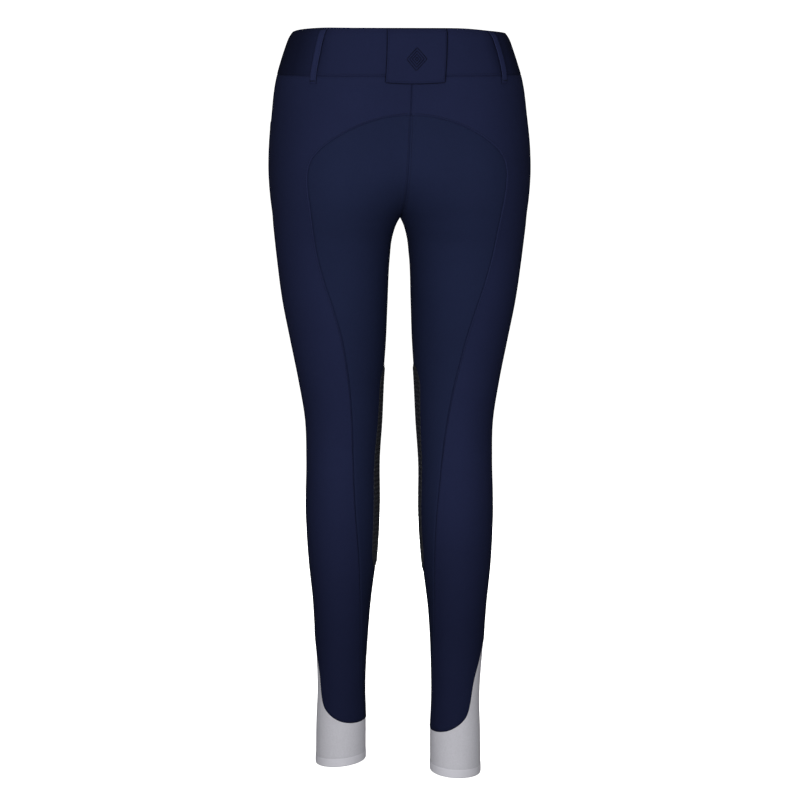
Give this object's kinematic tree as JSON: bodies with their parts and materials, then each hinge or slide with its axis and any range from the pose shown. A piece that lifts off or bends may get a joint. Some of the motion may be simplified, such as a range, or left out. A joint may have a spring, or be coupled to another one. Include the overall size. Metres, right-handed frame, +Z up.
{
  "type": "riding breeches",
  "caption": "Full-seat riding breeches filled out with no wearer: waistband with belt loops, fly, slant pockets, arched seat seam, knee grips and elastic calf cuffs",
  "frame": {"origin": "centre of the waist opening, level with the top of the waistband at the sides, where the wearer holds the breeches up", "axes": "+Z up along the body, the front faces -Y, the wearer's left is +X; the hips are square to the frame"},
  "size_m": [0.3422, 0.2541, 0.9826],
  "materials": {
    "leg_cloth": "smooth matt stretch weave",
    "seat_cloth": "smooth matt stretch weave",
    "waistband_cloth": "smooth matt stretch weave",
    "cuff_cloth": "thin elastic knit",
    "grip": "matt raised print",
    "button_metal": "satin"
  },
  "bodies": {
    "root": {"waistband_back": "waistband_cloth", "waistband_front_left": "waistband_cloth", "waistband_front_right": "waistband_cloth", "front_leg_left": "leg_cloth", "front_leg_right": "leg_cloth", "pocket_facing_left": "leg_cloth", "pocket_facing_right": "leg_cloth", "back_leg_left": "leg_cloth", "back_leg_right": "leg_cloth", "seat_leg_left": "seat_cloth", "seat_leg_right": "seat_cloth", "knee_grip_left": "grip", "knee_grip_right": "grip", "cuff_left": "cuff_cloth", "cuff_right": "cuff_cloth", "back_loop_left": "waistband_cloth", "back_loop_right": "waistband_cloth", "front_loop_left": "waistband_cloth", "front_loop_right": "waistband_cloth", "centre_back_loop": "waistband_cloth", "fly_front": "leg_cloth", "waist_button": "button_metal"}
  },
  "joints": []
}
